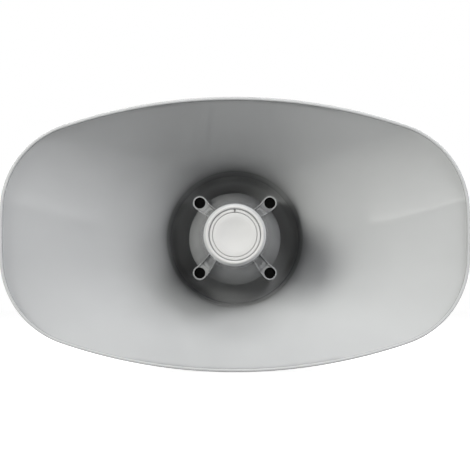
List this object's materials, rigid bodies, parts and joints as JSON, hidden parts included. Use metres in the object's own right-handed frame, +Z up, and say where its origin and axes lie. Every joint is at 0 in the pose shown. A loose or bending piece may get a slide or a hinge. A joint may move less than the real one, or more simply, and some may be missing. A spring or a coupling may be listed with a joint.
{
  "type": "pa horn speaker",
  "caption": "Oblong-mouth re-entrant PA horn loudspeaker with a reflex cup, a driver with line transformer behind it, and a steel U bracket that lets it tilt.",
  "frame": {"origin": "middle hole of the bracket's foot, at the foot's underside", "axes": "+X across the mouth, +Z up from the foot, and the horn looks along -Y"},
  "size_m": [0.49, 0.3282, 0.2871],
  "materials": {
    "flare_plastic": "smooth, glossy light grey moulding",
    "cup_plastic": "smooth light grey moulding",
    "cap_plastic": "satin off-white moulding",
    "housing_plastic": "fine-textured light grey moulding",
    "bracket_paint": "grey powder coat",
    "plated_steel": "zinc plated",
    "black_screws": "black oxide",
    "brass_insert": "turned and knurled",
    "gasket_rubber": "matt",
    "cast_alloy": "die cast, machined faces",
    "ferrite": "dark ground ceramic",
    "magnet_steel": "plated, turned",
    "dome_film": "thin pressed film",
    "coil_copper": "lacquered copper wire",
    "lamination": "stacked silicon steel",
    "bobbin_plastic": "moulded",
    "black_plastic": "fine-textured black",
    "fibre_board": "pressed board",
    "wire_sleeve": "soft insulation"
  },
  "bodies": {
    "bracket": {"bracket": "bracket_paint"},
    "horn": {"horn_flare": "flare_plastic", "reflex_cup": "cup_plastic", "cap_ring": "cap_plastic", "front_disc": "cap_plastic", "cup_screws": "black_screws", "cup_screw_washers": "black_screws", "lug_plugs": "gasket_rubber", "tone_guide": "housing_plastic", "flare_gasket": "gasket_rubber", "pivot_housing": "housing_plastic", "throat_gasket": "gasket_rubber", "driver_front": "cast_alloy", "driver_screws": "plated_steel", "motor_screws": "plated_steel", "phase_plug": "black_plastic", "surround": "dome_film", "clamp_ring": "cast_alloy", "top_plate": "magnet_steel", "magnet": "ferrite", "yoke": "magnet_steel", "terminal_strip": "fibre_board", "driver_leads": "wire_sleeve", "transformer_core": "lamination", "transformer_bobbin": "bobbin_plastic", "transformer_winding": "coil_copper", "transformer_frame": "plated_steel", "transformer_screws": "plated_steel", "rear_cover": "housing_plastic", "rear_seal": "gasket_rubber", "rear_cover_screws": "plated_steel", "tap_switch_body": "black_plastic", "tap_switch_nut": "plated_steel", "selector_seal": "gasket_rubber", "gland_body": "black_plastic", "gland_seal": "gasket_rubber", "gland_nut": "black_plastic", "gland_locknut": "black_plastic", "pivot_insert_left": "brass_insert", "friction_pad_left": "gasket_rubber", "flat_washer_left": "plated_steel", "lock_washer_left": "plated_steel", "pivot_bolt_left": "plated_steel", "pivot_insert_right": "brass_insert", "friction_pad_right": "gasket_rubber", "flat_washer_right": "plated_steel", "lock_washer_right": "plated_steel", "pivot_bolt_right": "plated_steel"},
    "selector": {"tap_selector_knob": "black_plastic"},
    "diaphragm": {"diaphragm": "dome_film", "voice_coil": "coil_copper"}
  },
  "joints": [
    {"name": "tilt", "type": "hinge", "parent": "bracket", "child": "horn", "pos_m": [0, 0, 0.144], "axis": [-1, 0, 0], "range_deg": [-35, 215]},
    {"name": "tap_selector", "type": "hinge", "parent": "horn", "child": "selector", "pos_m": [0, 0.1045, 0.11], "axis": [0, 1, 0], "range_deg": [0, 120]},
    {"name": "dome_travel", "type": "slide", "parent": "horn", "child": "diaphragm", "axis": [0, -1, 0], "range_m": [-0.0003, 0.0003], "stiffness_N_per_m": 2000, "deforming": ["surround"]}
  ]
}
